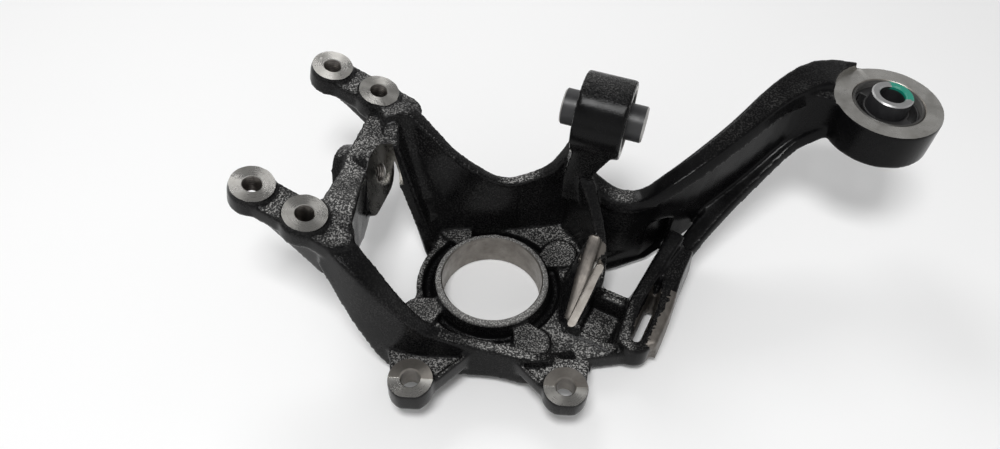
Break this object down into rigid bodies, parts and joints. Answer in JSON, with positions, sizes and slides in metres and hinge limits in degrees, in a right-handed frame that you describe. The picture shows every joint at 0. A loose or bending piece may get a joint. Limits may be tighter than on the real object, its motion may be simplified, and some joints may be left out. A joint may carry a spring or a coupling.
{
  "type": "steering knuckle",
  "caption": "Cast suspension knuckle with a hub bore, caliper bosses, raised tapped pads, a link ear and a long arm, with two pressed-in rubber bushes.",
  "frame": {"origin": "centre of the hub bore in the plane of the collar's lip", "axes": "+Z along the hub bore, out of the lip towards the inboard side; +X towards the long arm; +Y towards the tall wall and the link ear"},
  "size_m": [0.5042, 0.2576, 0.1685],
  "materials": {
    "casting": "gloss black coat over as-cast iron, with bare machined faces",
    "steel_sleeve": "turned steel sleeve pressed into the casting",
    "bush_rubber": "black moulded rubber",
    "inner_sleeve": "steel inner sleeve, machined end faces"
  },
  "bodies": {
    "root": {"knuckle_casting": "casting", "arm_bush_outer_sleeve": "steel_sleeve", "arm_bush_rubber": "bush_rubber", "arm_bush_inner_sleeve": "inner_sleeve", "link_bush_outer_sleeve": "steel_sleeve", "link_bush_rubber": "bush_rubber", "link_bush_inner_sleeve": "inner_sleeve"}
  },
  "joints": []
}
